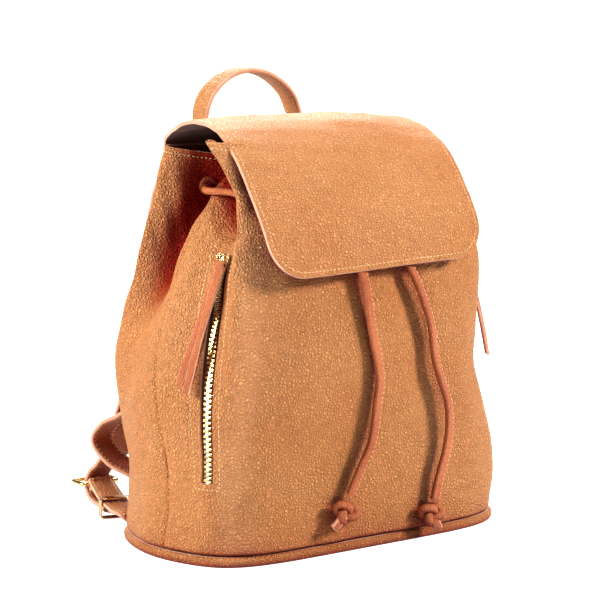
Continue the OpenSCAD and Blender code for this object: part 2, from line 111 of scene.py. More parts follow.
RING_POINTS = [full_ring(half) for _, half in RINGS]
RING_Z = np.array([z for z, _ in RINGS], float)
RIM_LIFT = full_ring([(0, step) for step in RIM_STEP])[:, 1]
# The flap presses the right front ridge's top down and in.
RING_POINTS[-1][TURN - 3] = (86, -24)
RIM_LIFT[TURN - 3] = -5


def spline(points, t, wrap=False):
    """Catmull-Rom through points (first axis) at t, one point for each of t's values."""
    points = np.asarray(points, float)
    t = np.asarray(t, float)
    last = len(points) - 1
    i = np.floor(t).astype(int)
    if wrap:
        near = [points[(i + k) % len(points)] for k in (-1, 0, 1, 2)]
    else:
        i = np.clip(i, 0, last - 1)
        before = 2 * points[:1] - points[1:2]
        after = 2 * points[-1:] - points[-2:-1]
        longer = np.concatenate([before, points, after])
        near = [longer[i + k] for k in range(4)]
    return cubic(*near, (t - i)[(...,) + (None,) * (points.ndim - 1)])


def smooth(x):
    x = np.clip(x, 0, 1)
    return x * x * (3 - 2 * x)


def body_base(s, v):
    """The body's plain surface in metres, s stations round and v rings up."""
    s, v = np.broadcast_arrays(np.asarray(s, float), np.asarray(v, float))
    v = np.clip(v, 0, RIM)
    count = len(RINGS)
    plan = np.stack([spline(points, s, wrap=True) for points in RING_POINTS])
    i = np.clip(np.floor(v).astype(int), 0, count - 2)
    f = (v - i)[..., None]

    def pick(k):
        return np.take_along_axis(plan, np.clip(k, 0, count - 1)[None, ..., None], axis=0)[0]

    def ring(k):
        inside = np.clip(k, 0, count - 1)
        near = pick(inside)
        return np.where((k != inside)[..., None], 2 * near - pick(2 * inside - k), near)

    xy = cubic(*(ring(i + k) for k in (-1, 0, 1, 2)), f)
    z = spline(RING_Z, v) + spline(RIM_LIFT, s, wrap=True) * smooth(v - 4)
    return MM * np.concatenate([xy, z[..., None]], axis=-1)


def body_soft(s, v):
    """The plain surface with its corners eased, as soft leather rounds them."""
    s, v = np.broadcast_arrays(np.asarray(s, float), np.asarray(v, float))
    tight = smooth((v - 2) / 2)
    ease_s = 0.3 - 0.2 * tight
    ease_v = 0.18 - 0.08 * tight
    total = 0
    for ds, ws in ((-1, 0.25), (0, 0.5), (1, 0.25)):
        for dv, wv in ((-1, 0.25), (0, 0.5), (1, 0.25)):
            total = total + ws * wv * body_base(s + ds * ease_s, v + dv * ease_v)
    return total


def body_normal(s, v):
    h = 0.06
    v = np.asarray(v, float)
    up = body_soft(s, np.minimum(v + h, RIM)) - body_soft(s, np.maximum(v - h, 0))
    round_ = body_soft(np.asarray(s) + h, v) - body_soft(np.asarray(s) - h, v)
    return unit(np.cross(up, round_))


def ripples(points, size, seed):
    """Smooth pseudo-random waves about size metres long, between about -1 and 1."""
    draw = np.random.default_rng(seed)
    total = np.zeros(points.shape[:-1])
    for _ in range(9):
        way = draw.normal(size=3)
        way *= 2 * math.pi / size / np.linalg.norm(way) * draw.uniform(0.7, 1.4)
        total += np.sin(points @ way + draw.uniform(0, 2 * math.pi))
    return total / 3.5


def relief(points):
    """Soft slumps and dents of worn leather, in metres, from the place on the body."""
    x, y, z = points[..., 0], points[..., 1], points[..., 2]
    gathered = smooth((z - 0.15) / 0.08)
    out = 0.0016 * ripples(points, 0.085, 3) + 0.0005 * ripples(points, 0.03, 5)
    # Gathering wrinkles run up and down, so their waves are short across and long upwards.
    flat = points * (1, 1, 0.22)
    out = out + gathered * (0.0011 * ripples(flat, 0.021, 8) + 0.0005 * ripples(flat, 0.010, 4))
    # A soft vertical valley in the front, under the right cord.
    line = 0.020 + (0.205 - z) * 0.30
    valley = np.exp(-((x - line) / 0.013) ** 2) * smooth((z - 0.07) / 0.05)
    return out - 0.0030 * valley * smooth((-0.04 - y) / 0.02)


def slump(points):
    """How the half-empty body leans to its right as it sags, in metres."""
    sag = np.exp(-(((points[..., 2] - 0.12) / 0.045) ** 2))
    share = np.where(points[..., 0] > 0, -0.009, -0.0045)
    side = np.clip(np.abs(points[..., 0]) / 0.1, 0, 1)
    move = np.zeros_like(points)
    move[..., 0] = sag * (share * side - 0.004 * (1 - side))
    return move


def body(s, v, lift=0.0, normal=None):
    """The finished surface, lift metres outside the leather."""
    p = body_soft(s, v)
    n = body_normal(s, v) if normal is None else normal
    return p + slump(p) + n * (relief(p) + lift)[..., None]


def fold_depth(heights, grid):
    """How far each row of points on the body lies inside its ring's outline, in metres: the
    folds of the gathered sides are deep and the ridges between them aren't."""
    around = np.arange(0, TURN, 0.1)
    rows = []
    for v, row in zip(heights, grid):
        ring = body(around, v)[:, :2]
        hull = ring[convex_hull_2d([tuple(p) for p in ring])]
        along = unit(np.roll(hull, -1, axis=0) - hull)
        inward = np.stack([-along[:, 1], along[:, 0]])
        rows.append(np.abs(row[:, :2] @ inward - np.sum(hull * inward.T, axis=1)).min(axis=1))
    return np.array(rows)


# ---- meshes ----
def mesh_object(name, verts, faces, materials, face_materials=None, smooth=True):
    mesh = bpy.data.meshes.new(name)
    mesh.from_pydata([tuple(v) for v in verts], [], [tuple(f) for f in faces])
    for m in materials:
        mesh.materials.append(m)
    if face_materials is not None:
        mesh.polygons.foreach_set("material_index", face_materials)
    mesh.polygons.foreach_set("use_smooth", [smooth] * len(mesh.polygons))
    mesh.validate()
    mesh.update()
    if smooth:
        mesh.set_sharp_from_angle(angle=math.radians(55))
    obj = bpy.data.objects.new(name, mesh)
    bpy.context.collection.objects.link(obj)
    return obj


def shell(name, outer, inner, materials, closed=False, skip=None, rims="tblr"):
    """A sheet of leather between an outer and an inner grid of points. The last two materials
    are the inside's and the cut edges'."""
    rows, cols = outer.shape[:2]
    wrap = cols if closed else cols - 1
    verts = np.concatenate([outer.reshape(-1, 3), inner.reshape(-1, 3)])
    half = rows * cols
    faces, kinds = [], []
    hole = np.zeros((rows - 1, wrap), bool) if skip is None else skip

    def cell(r, c):
        d = (c + 1) % cols
        return r * cols + c, r * cols + d, (r + 1) * cols + d, (r + 1) * cols + c

    def edge(a, b):
        faces.append((a, a + half, b + half, b))
        kinds.append(len(materials) - 1)

    for r in range(rows - 1):
        for c in range(wrap):
            if hole[r, c]:
                continue
            i, j, k, m = cell(r, c)
            faces.append((i, j, k, m))
            kinds.append(0)
            faces.append((i + half, m + half, k + half, j + half))
            kinds.append(len(materials) - 2)
            if r == 0 and "b" in rims or r > 0 and hole[r - 1, c]:
                edge(i, j)
            if r == rows - 2 and "t" in rims or r < rows - 2 and hole[r + 1, c]:
                edge(k, m)
            if not closed and c == 0 and "l" in rims or c > 0 and hole[r, c - 1]:
                edge(m, i)
            if not closed and c == wrap - 1 and "r" in rims or c < wrap - 1 and hole[r, c + 1]:
                edge(j, k)
    return mesh_object(name, verts, faces, materials, kinds)


def rounded(width, height, corner, steps):
    """A rounded rectangle round the origin, with steps points at each corner."""
    pts = []
    for cx, cy, start in ((1, 1, 0), (-1, 1, 90), (-1, -1, 180), (1, -1, 270)):
        for k in range(steps):
            a = math.radians(start + 90 * k / (steps - 1))
            x = cx * (width / 2 - corner) + corner * math.cos(a)
            y = cy * (height / 2 - corner) + corner * math.sin(a)
            pts.append((x, y))
    return np.array(pts)


def profile(width, thick, corner, steps=4):
    """A strap's rounded outline, and which of its sides are cut edges."""
    pts = rounded(width, thick, corner, steps)
    mids = (pts + np.roll(pts, -1, axis=0)) / 2
    edge = np.abs(mids[:, 0]) > width / 2 - corner * 0.75
    return pts, edge


def frames(places, sides):
    """Unit tangents, width directions and face normals along a line of places."""
    t = unit(np.gradient(places, axis=0))
    u = unit(sides - np.sum(sides * t, axis=1, keepdims=True) * t)
    return t, u, np.cross(t, u)


def sweep(name, places, sides, widths, thick, materials, corner=None, steps=4):
    """A strap along places with its width along sides. The last material is its edges'."""
    corner = corner or thick * 0.42
    t, u, n = frames(places, sides)
    verts, faces, kinds = [], [], []
    outline, edge = profile(1.0, thick, corner, steps)
    count = len(outline)
    for k, p in enumerate(places):
        outline, edge = profile(widths[k], thick, corner, steps)
        verts.extend(p + outline[:, :1] * u[k] + outline[:, 1:] * n[k])
    for k in range(len(places) - 1):
        for i in range(count):
            j = (i + 1) % count
            a, b = k * count + i, k * count + j
            faces.append((a, b, b + count, a + count))
            kinds.append(len(materials) - 1 if edge[i] else 0)
    faces.append(tuple(range(count - 1, -1, -1)))
    last = (len(places) - 1) * count
    faces.append(tuple(range(last, last + count)))
    kinds += [len(materials) - 1] * 2
    return mesh_object(name, verts, faces, materials, kinds)


def tube(name, places, radius, material, sides=12, closed=False, flat=1.0, up=(0, 0, 1)):
    places = np.asarray(places, float)
    if closed:
        t = unit(np.roll(places, -1, axis=0) - np.roll(places, 1, axis=0))
    else:
        t = unit(np.gradient(places, axis=0))
    u = np.zeros_like(places)
    side = np.array(up, float)
    for k in range(len(places)):
        side = unit(side - np.dot(side, t[k]) * t[k])
        u[k] = side
    w = np.cross(t, u)
    a = np.linspace(0, 2 * math.pi, sides, endpoint=False)
    a = a[None, :, None]
    ring = radius * (np.cos(a) * u[:, None] + flat * np.sin(a) * w[:, None])
    verts = (places[:, None] + ring).reshape(-1, 3)
    faces = []
    n = len(places)
    for k in range(n if closed else n - 1):
        for i in range(sides):
            j = (i + 1) % sides
            m = (k + 1) % n
            faces.append((k * sides + i, k * sides + j, m * sides + j, m * sides + i))
    if not closed:
        faces.append(tuple(range(sides - 1, -1, -1)))
        faces.append(tuple(range((n - 1) * sides, n * sides)))
    return mesh_object(name, verts, faces, [material])


def resample(points, normals, pitch):
    """Even places along a line pitch apart, with the normals and directions there."""
    points = np.asarray(points, float)
    gaps = np.linalg.norm(np.diff(points, axis=0), axis=1)
    run = np.concatenate([[0], np.cumsum(gaps)])
    count = max(2, int(run[-1] / pitch))
    at = (np.arange(count) + 0.5) * run[-1] / count

    def along(values, where):
        return np.stack([np.interp(where, run, values[:, k]) for k in range(3)], axis=1)

    ahead = along(points, at + pitch / 4) - along(points, at - pitch / 4)
    return along(points, at), unit(along(np.asarray(normals), at)), unit(ahead)


def stitches(name, lines, material, pitch=3.1 * MM, length=2.2 * MM, r=0.34 * MM):
    """Rows of thread stitches lying on the leather: each line is points and normals."""
    long, around = 5, 6
    verts, faces = [], []
    for points, normals in lines:
        place, out, ahead = resample(points, normals, pitch)
        side = np.cross(ahead, out)
        for p, n, t, w in zip(place, out, ahead, side):
            base = len(verts)
            for i in range(long):
                x = i / (long - 1) * 2 - 1
                fat = r * math.sqrt(max(1 - x**4, 0.08))
                dip = -r * 0.9 * x * x
                for j in range(around):
                    a = 2 * math.pi * j / around
                    verts.append(p + t * x * length / 2 + w * fat * math.cos(a)
                                 + n * (dip + fat * 0.8 * math.sin(a)))
            for i in range(long - 1):
                for j in range(around):
                    k = (j + 1) % around
                    a, b = base + i * around + j, base + i * around + k
                    faces.append((a, b, b + around, a + around))
    return mesh_object(name, verts, faces, [material])


# ---- materials ----
class Graph:
    """A short way to build one material's nodes."""

    def __init__(self, name):
        self.material = bpy.data.materials.new(name)
        self.material.use_nodes = True
        self.tree = self.material.node_tree
        self.shader = self.tree.nodes["Principled BSDF"]
        self.object_space = self.add("ShaderNodeTexCoord").outputs["Object"]

    def add(self, kind, **settings):
        node = self.tree.nodes.new(kind)
        for key, value in settings.items():
            setattr(node, key, value)
        return node

    def link(self, out, into):
        self.tree.links.new(out, into)

    def plug(self, socket, value):
        """Links a node's output to a socket, or sets the socket's own value."""
        if isinstance(value, bpy.types.NodeSocket):
            self.link(value, socket)
        elif isinstance(value, tuple) and len(value) == 3:
            socket.default_value = value + (1.0,)
        else:
            socket.default_value = value

    def put(self, node, name, value):
        self.plug(node.inputs[name], value)

    def noise(self, scale, detail=3.0, rough=0.5, vector=None):
        node = self.add("ShaderNodeTexNoise")
        self.put(node, "Vector", vector or self.object_space)
        self.put(node, "Scale", scale)
        self.put(node, "Detail", detail)
        self.put(node, "Roughness", rough)
        return node.outputs["Fac"]

    def cells(self, scale, vector=None, feature="DISTANCE_TO_EDGE"):
        node = self.add("ShaderNodeTexVoronoi", feature=feature)
        self.put(node, "Vector", vector or self.object_space)
        self.put(node, "Scale", scale)
        return node.outputs["Distance"]

    def span(self, value, low, high, to_low=0.0, to_high=1.0):
        node = self.add("ShaderNodeMapRange")
        node.interpolation_type = "SMOOTHSTEP"
        for name, v in (("Value", value), ("From Min", low), ("From Max", high),
                        ("To Min", to_low), ("To Max", to_high)):
            self.put(node, name, v)
        return node.outputs["Result"]

    def math(self, operation, a, b=0.0):
        node = self.add("ShaderNodeMath", operation=operation)
        for socket, v in zip(node.inputs, (a, b)):
            self.plug(socket, v)
        return node.outputs[0]

    def mix(self, factor, a, b, blend="MIX"):
        node = self.add("ShaderNodeMix", data_type="RGBA", blend_type=blend)
        for i, v in ((0, factor), (6, a), (7, b)):
            self.plug(node.inputs[i], v)
        return node.outputs[2]

    def bump(self, height, strength, distance):
        node = self.add("ShaderNodeBump")
        self.put(node, "Height", height)
        self.put(node, "Strength", strength)
        self.put(node, "Distance", distance)
        return node.outputs["Normal"]

    def finish(self, **values):
        for name, value in values.items():
            self.put(self.shader, name.replace("_", " "), value)
        return self.material


FOLD_SHADE = (0.30, 0.010, 0.006)  # painted shade: the deep red put in the leather's folds


def leather(name, light, dark, crease_shade, grain=450.0, depth=1.0):
    """Pebbled full-grain leather: glossy rounded pebbles between creases, with long fine wrinkles,
    painted shade in the creases and wrinkles, and a deep red painted shade where the leather folds in
    on itself."""
    g = Graph(name)
    wobble = g.add("ShaderNodeTexNoise")
    g.put(wobble, "Vector", g.object_space)
    g.put(wobble, "Scale", 260.0)
    shift = g.add("ShaderNodeVectorMath", operation="SCALE")
    g.link(wobble.outputs["Color"], shift.inputs[0])
    shift.inputs["Scale"].default_value = 0.0018
    moved = g.add("ShaderNodeVectorMath", operation="ADD")
    g.link(g.object_space, moved.inputs[0])
    g.link(shift.outputs[0], moved.inputs[1])
    big = g.span(g.cells(grain, moved.outputs[0]), 0.0, 0.40)
    fine = g.span(g.cells(grain * 2.1, moved.outputs[0]), 0.0, 0.34)
    stretch = g.add("ShaderNodeMapping")
    g.link(moved.outputs[0], stretch.inputs["Vector"])
    stretch.inputs["Scale"].default_value = (1.0, 1.0, 2.6)
    wrinkle = g.noise(120.0, 3.0, 0.55, stretch.outputs[0])
    height = g.math("ADD", g.math("MULTIPLY", big, 0.7), g.math("MULTIPLY", fine, 0.22))
    height = g.math("ADD", height, g.math("MULTIPLY", wrinkle, 0.7))
    height = g.math("ADD", height, g.math("MULTIPLY", g.noise(2600.0, 2.0), 0.08))
    mottle = g.noise(14.0, 3.0, 0.5)
    tone = g.mix(g.span(mottle, 0.3, 0.7), dark, light)
    # Painted shade: the creases between the pebbles and along the wrinkles are darkened towards the
    # crease shade colour.
    tone = g.mix(g.span(big, 0.0, 0.6, 0.42, 0.0), tone, crease_shade)
    tone = g.mix(g.span(wrinkle, 0.30, 0.5, 0.16, 0.0), tone, crease_shade)
    # Painted shade: ambient occlusion darkens the colour towards a dark red in hollows and folds.
    folds = g.add("ShaderNodeAmbientOcclusion")
    folds.samples = 8
    folds.inputs["Distance"].default_value = 0.06
    ao_shade = g.span(folds.outputs["AO"], 0.1, 0.80, 1.0, 0.0)
    color = g.mix(ao_shade, tone, tuple(c * k for c, k in zip(crease_shade, (1.0, 0.35, 0.45))))
    # Painted shade: the stored fold depth blends the colour to a deep red in the body's folds, and
    # damps the specular there.
    fold = g.add("ShaderNodeAttribute", attribute_name="fold")
    color = g.mix(g.math("MULTIPLY", fold.outputs["Fac"], 0.93), color, FOLD_SHADE)
    gloss = g.span(fold.outputs["Fac"], 0.0, 1.0, 0.5, 0.08)
    shine = g.span(big, 0.1, 1.0, 0.55, 0.34)
    g.finish(Base_Color=color, Roughness=shine, Normal=g.bump(height, depth, 0.0019),
             Specular_IOR_Level=gloss, IOR=1.5)
    return g.material


def suede(name, light, dark):
    """The raw cut edge and flesh side: matt, fibrous."""
    g = Graph(name)
    fibres = g.noise(1400.0, 4.0, 0.7)
    patches = g.noise(90.0, 3.0)
    color = g.mix(g.span(g.math("ADD", g.math("MULTIPLY", fibres, 0.6),
                                g.math("MULTIPLY", patches, 0.4)), 0.35, 0.65), dark, light)
    g.finish(Base_Color=color, Roughness=0.85, Normal=g.bump(fibres, 0.5, 0.0004),
             Sheen_Weight=0.25, Sheen_Roughness=0.6)
    return g.material


def metal(name, color, rough):
    g = Graph(name)
    scratches = g.noise(900.0, 5.0, 0.7)
    smudge = g.noise(120.0, 3.0)
    g.finish(Base_Color=g.mix(g.span(smudge, 0.3, 0.8, 0, 0.4), color,
                              tuple(c * 0.72 for c in color)),
             Metallic=1.0, Roughness=g.span(smudge, 0.2, 0.8, rough * 0.7, rough * 1.3),
             Normal=g.bump(scratches, 0.08, 0.0001))
    return g.material


def cloth(name, light, dark, threads=1500.0):
    g = Graph(name)
    waves = []
    for direction in ("X", "Z"):
        wave = g.add("ShaderNodeTexWave", bands_direction=direction)
        g.put(wave, "Vector", g.object_space)
        g.put(wave, "Scale", threads)
        waves.append(wave.outputs["Fac"])
    weave = g.math("MULTIPLY", waves[0], waves[1])
    dirt = g.noise(60.0, 3.0)
    color = g.mix(g.span(weave, 0.0, 1.0, 0.0, 0.7), dark, light)
    color = g.mix(g.span(dirt, 0.4, 0.8, 0.0, 0.3), color, dark)
    g.finish(Base_Color=color, Roughness=0.9, Normal=g.bump(weave, 0.4, 0.0003))
    return g.material


def thread(name, light, dark):
    g = Graph(name)
    twist = g.noise(2200.0, 2.0)
    g.finish(Base_Color=g.mix(g.span(twist, 0.3, 0.7), dark, light), Roughness=0.6,
             Normal=g.bump(twist, 0.5, 0.0002), Sheen_Weight=0.2)
    return g.material


TAN = leather("tan_leather", (0.71, 0.34, 0.125), (0.66, 0.29, 0.095), (0.34, 0.07, 0.018))
TRIM = leather("trim_leather", (0.58, 0.19, 0.065), (0.42, 0.11, 0.035), (0.20, 0.03, 0.010),
               620.0, 0.5)
RAW = suede("raw_edge", (0.68, 0.36, 0.24), (0.50, 0.22, 0.13))
FLESH = suede("flesh_side", (0.42, 0.20, 0.11), (0.28, 0.11, 0.06))
GOLD = metal("gold", (0.90, 0.66, 0.32), 0.22)
LINING = cloth("lining_cloth", (0.16, 0.07, 0.035), (0.08, 0.03, 0.015))
TAPE = cloth("zip_tape", (0.22, 0.085, 0.035), (0.12, 0.04, 0.018))
THREAD = thread("thread", (0.86, 0.62, 0.36), (0.62, 0.38, 0.19))
# The flap's underside: a near-black suede, darkened to paint in the shade under the flap.
LINER = suede("flap_liner", (0.12, 0.030, 0.018), (0.08, 0.018, 0.010))


# ---- the body ----
def eased(a, b, count):
    """Values from a to b, closer together near both ends, where the leather turns in."""
    t = np.linspace(0, 1, count)
    return a + (b - a) * (0.72 * t + 0.28 * (0.5 - 0.5 * np.cos(math.pi * t)))


def turned_in(s, v, left, right):
    """How far the leather dips towards its side seams and its foot, in metres."""
    from_seam = np.minimum(np.abs(s - left), np.abs(s - right)) * STATION_MM
    from_foot = v * 45.0
    return -MM * (1.5 * np.exp(-from_seam / 1.3) + 1.3 * np.exp(-from_foot / 1.3))


def mark_folds(obj, heights, outer):
    """Stores how deep the leather is folded in, which its material paints as a deep red shade."""
    depth = fold_depth(heights, outer).reshape(-1)
    share = smooth((depth / MM - 4) / 17)
    layer = obj.data.attributes.new("fold", "FLOAT", "POINT")
    layer.data.foreach_set("value", np.concatenate([share, share]).astype(np.float32))


def panel_grid(s, v, left, right):
    ss, vv = np.meshgrid(s, v)
    normal = body_normal(ss, vv)
    outer = body(ss, vv, turned_in(ss, vv, left, right), normal)
    return outer, outer - normal * (2.0 * MM)


def build_front():
    half = 4.25 * ZIP_MM
    cuts = [-SEAM, -ZIP - half, -ZIP + half, ZIP - half, ZIP + half, SEAM]
    counts = [22, 5, 150, 5, 22]
    s = np.concatenate([eased(a, b, n)[:-1] for a, b, n in zip(cuts, cuts[1:], counts)] + [[SEAM]])
    v = np.concatenate([np.linspace(0, 0.12, 8)[:-1], np.linspace(0.12, ZIP_V[0], 24)[:-1],
                        np.linspace(ZIP_V[0], ZIP_V[1], 80)[:-1], np.linspace(ZIP_V[1], RIM, 60)])
    outer, inner = panel_grid(s, v, -SEAM, SEAM)
    mid_s = (s[:-1] + s[1:]) / 2
    mid_v = (v[:-1] + v[1:]) / 2
    skip = (np.abs(np.abs(mid_s) - ZIP) < half)[None, :] \
        & ((mid_v > ZIP_V[0]) & (mid_v < ZIP_V[1]))[:, None]
    obj = shell("front_leather", outer, inner, [TAN, FLESH, RAW], skip=skip)
    mark_folds(obj, v, outer)
    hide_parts("front_panel")
    return obj


def build_back():
    s = eased(SEAM, TURN - SEAM, 230)
    v = np.concatenate([np.linspace(0, 0.12, 8)[:-1], np.linspace(0.12, RIM, 150)])
    outer, inner = panel_grid(s, v, SEAM, TURN - SEAM)
    obj = shell("back_leather", outer, inner, [TAN, FLESH, RAW])
    mark_folds(obj, v, outer)
    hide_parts("back_panel")
    return obj


def build_base():
    """The base: a flat bottom whose edge turns up to the seam round the body."""
    s = np.linspace(0, TURN, 260, endpoint=False)
    top = body_soft(s, 0 * s)
    mid = top.mean(axis=0)
    flat = unit((body_normal(s, 0 * s) * (1, 1, 0)))
    rows = []
    for inset, z in ((1.6, 7.3), (0.9, 6.8), (0.4, 6.0), (0.1, 4.8), (0.1, 3.4), (0.5, 1.8),
                     (1.5, 0.6), (3.0, 0.05), (9.0, 0.0)):
        row = top - flat * inset * MM
        row[:, 2] = z * MM
        rows.append(row)
    for share in (0.8, 0.5, 0.2, 0.02):
        row = mid + (rows[-1] - mid) * share if share > 0.7 else mid + (top - mid) * share
        row[:, 2] = 0
        rows.append(row)
    outer = np.array(rows[::-1])
    inner = outer.copy()
    inner[:, :, 2] = np.maximum(inner[:, :, 2], 2 * MM)
    inner[-9:] -= flat * 2 * MM
    obj = shell("base_leather", outer, inner, [TAN, FLESH, RAW], closed=True)
    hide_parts("base_panel")
    return obj


def build_inside():
    s = np.linspace(0, TURN, 160, endpoint=False)
    ss, vv = np.meshgrid(s, np.linspace(0.0, 3.9, 60))
    outer = body(ss, vv, -3.6 * MM)
    outer[0, :, 2] = 5.5 * MM
    lining = shell("lining_cloth", outer, outer - body_normal(ss, vv) * 0.8 * MM,
                   [LINING, LINING, LINING], closed=True)
    ss, vv = np.meshgrid(s, np.linspace(3.85, RIM - 0.03, 30))
    outer = body(ss, vv, -2.15 * MM)
    facing = shell("facing_leather", outer, outer - body_normal(ss, vv) * 1.1 * MM,
                   [TRIM, TRIM, RAW], closed=True)
    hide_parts("lining")
    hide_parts("mouth_facing")
    return lining, facing


def surface_line(s, v, lift=0.1 * MM):
    """A line on the body, with its normals, for stitches."""
    s, v = np.broadcast_arrays(np.asarray(s, float), np.asarray(v, float))
    return body(s, v, lift), body_normal(s, v)


def build_body_stitches():
    lines = []
    v = np.linspace(ZIP_V[0] - 0.06, ZIP_V[1] + 0.1, 120)
    for side in (-1, 1):
        across = np.linspace(-9.5, 9.5, 12) * ZIP_MM
        lines += [surface_line(side * ZIP + off, v) for off in (across[0], across[-1])]
        lines.append(surface_line(side * ZIP + across, v[0]))
    s = np.linspace(0, TURN, 500)
    lines.append(surface_line(s, 4.83))
    return stitches("body_stitches", lines, THREAD)


# ---- the flap ----
def flap_width(t):
    step = math.dist(FLAP_PATH[-1], FLAP_PATH[-2])
    d = np.maximum(FLAP_CORNER - (len(FLAP_PATH) - 1 - t) * step, 0)
    return FLAP_HALF - FLAP_CORNER + np.sqrt(np.maximum(FLAP_CORNER**2 - d**2, 0))


def flap(x, t, lift=0.0):
    """A point of the flap's outer surface: x in mm from the middle, t along its profile."""
    x, t = np.broadcast_arrays(np.asarray(x, float), np.asarray(t, float))
    p = spline(FLAP_PATH, t)
    d = unit(spline(FLAP_PATH, t + 0.04) - spline(FLAP_PATH, t - 0.04))
    out = np.stack([-d[..., 1], d[..., 0]], axis=-1) * -1
    u = x / FLAP_HALF
    crown = 3 * (1 - u**2) * np.sin(math.pi * np.clip((t - 2) / 5, 0, 1))
    bow = -7.5 * u**2 * np.clip(1 - t / 2, 0, 1)
    droop = -2.5 * np.clip((x - 20) / 70, 0, 1) ** 2 * np.exp(-((t - 5.5) / 1.6) ** 2)
    tilt = 3.2 * u * np.clip((t - 6) / 3, 0, 1)
    dent = -1.6 * np.exp(-((x / 16) ** 2 + ((t - 8.2) / 0.42) ** 2))
    wave = 1.2 * np.sin(x / 26 + 0.7) * np.clip((t - 7) / 3, 0, 1)
    flat = np.stack([x, 40 * t, 0 * x], axis=-1) * MM
    wave = wave + 0.7 * ripples(flat, 0.075, 12) + 0.25 * ripples(flat, 0.03, 14)
    y = p[..., 0] + bow + out[..., 0] * (dent + wave + lift)
    z = p[..., 1] + crown + droop + tilt + out[..., 1] * (dent + wave + lift)
    return np.stack([x, y, z], axis=-1) * MM


def flap_grid(ts, lift):
    u = eased(-1, 1, 120)
    tt = np.repeat(ts[:, None], len(u), axis=1)
    xx = u[None, :] * flap_width(ts)[:, None]
    return flap(xx, tt, lift)


def build_flap():
    """The flap in two halves that meet over the mouth, where neither of them bends."""
    end = len(FLAP_PATH) - 1
    back_ts = np.linspace(0, FLAP_MEET, 70)
    front_ts = np.concatenate([np.linspace(FLAP_MEET, end - 0.5, 90)[:-1],
                               end - 0.5 * (1 - np.sin(np.linspace(0, math.pi / 2, 24)))])
    made = []
    for name, ts, rims in (("flap_back", back_ts, "blr"), ("flap_front_leather", front_ts, "tlr")):
        made.append(shell(name, flap_grid(ts, FLAP_OUT), flap_grid(ts, FLAP_IN),
                          [TAN, LINER, RAW], rims=rims))
    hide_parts("flap_root", "flap_top", "flap_top_lining")
    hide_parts("flap_front", "flap_front_lining")
    return made


def flap_line(x, t):
    """Points and normals for stitches on the flap's outer face."""
    return flap(x, t, FLAP_OUT + 0.12), unit(flap(x, t, 4.0) - flap(x, t, 1.0))


def flap_edge(inset, t0):
    """A line inset from the flap's edge, down one side, round its front and up the other."""
    end = len(FLAP_PATH) - 1
    step = math.dist(FLAP_PATH[-1], FLAP_PATH[-2])
    limit = end - inset / step
    ts = t0 + (limit - t0) * np.sin(np.linspace(0, math.pi / 2, 160))
    r = FLAP_CORNER - inset
    d = np.maximum(r - (limit - ts) * step, 0)
    w = FLAP_HALF - FLAP_CORNER + np.sqrt(np.maximum(r**2 - d**2, 0))
    xs = np.concatenate([-w, np.linspace(-w[-1], w[-1], 80)[1:-1], w[::-1]])
    tt = np.concatenate([ts, np.full(78, limit), ts[::-1]])
    return flap_line(xs, tt)


def build_flap_stitches():
    ts = np.linspace(2.3, FLAP_MEET, 60)
    back = [flap_line(sign * (FLAP_HALF - FLAP_HEM), ts) for sign in (-1, 1)]
    back.append(flap_line(np.linspace(-88, 88, 90), 0.25))
    front = [flap_edge(FLAP_HEM, FLAP_MEET)]
    return (stitches("flap_back_stitches", back, THREAD),
            stitches("flap_front_stitches", front, THREAD))


# ---- the handle ----
def build_handle():
    half = [((-43, 60.6, 246), (1, 0, 0), 22), ((-43, 61.5, 255), (1, 0, 0), 21),
            ((-43, 64.5, 268), (0.9, 0.4, 0), 19), ((-43, 70, 280), (0.5, 0.9, 0), 19),
            ((-42, 73, 291), (0.1, 1, 0), 20), ((-35, 74, 309), (0, 1, 0), 20),
            ((-19, 75, 322), (0, 1, 0), 20)]
    route = half + [((0, 75, 326.5), (0, 1, 0), 20)]
    route += [((-p[0], p[1], p[2]), (-q[0], q[1], q[2]), w) for p, q, w in half[::-1]]
    t = np.linspace(0, len(route) - 1, 150)
    places = spline([r[0] for r in route], t)
    places[:, 0] -= 5.0 * smooth((places[:, 2] - 262) / 40)
    places = places * MM
    # The second half's width directions are turned to go on from the first half's.
    turns = [r[1] if i <= len(half) else tuple(-np.array(r[1]) * (1, -1, 1))
             for i, r in enumerate(route)]
    sides = spline(turns, t)
    widths = spline([[r[2]] for r in route], t)[:, 0] * MM
    return places, sides, widths


# ---- zips ----
def zip_axes(side):
    """The zip's top, its foot, its way down, across and out, as the slider runs."""
    top, foot = MM * np.array(ZIP_TOP), MM * np.array(ZIP_FOOT)
    down = unit(foot - top)
    out = unit(ZIP_OUT - np.dot(ZIP_OUT, down) * down)
    across = np.cross(out, down)
    flip = np.array((side, 1, 1))
    return top * flip, foot * flip, down * flip, across * flip, out * flip


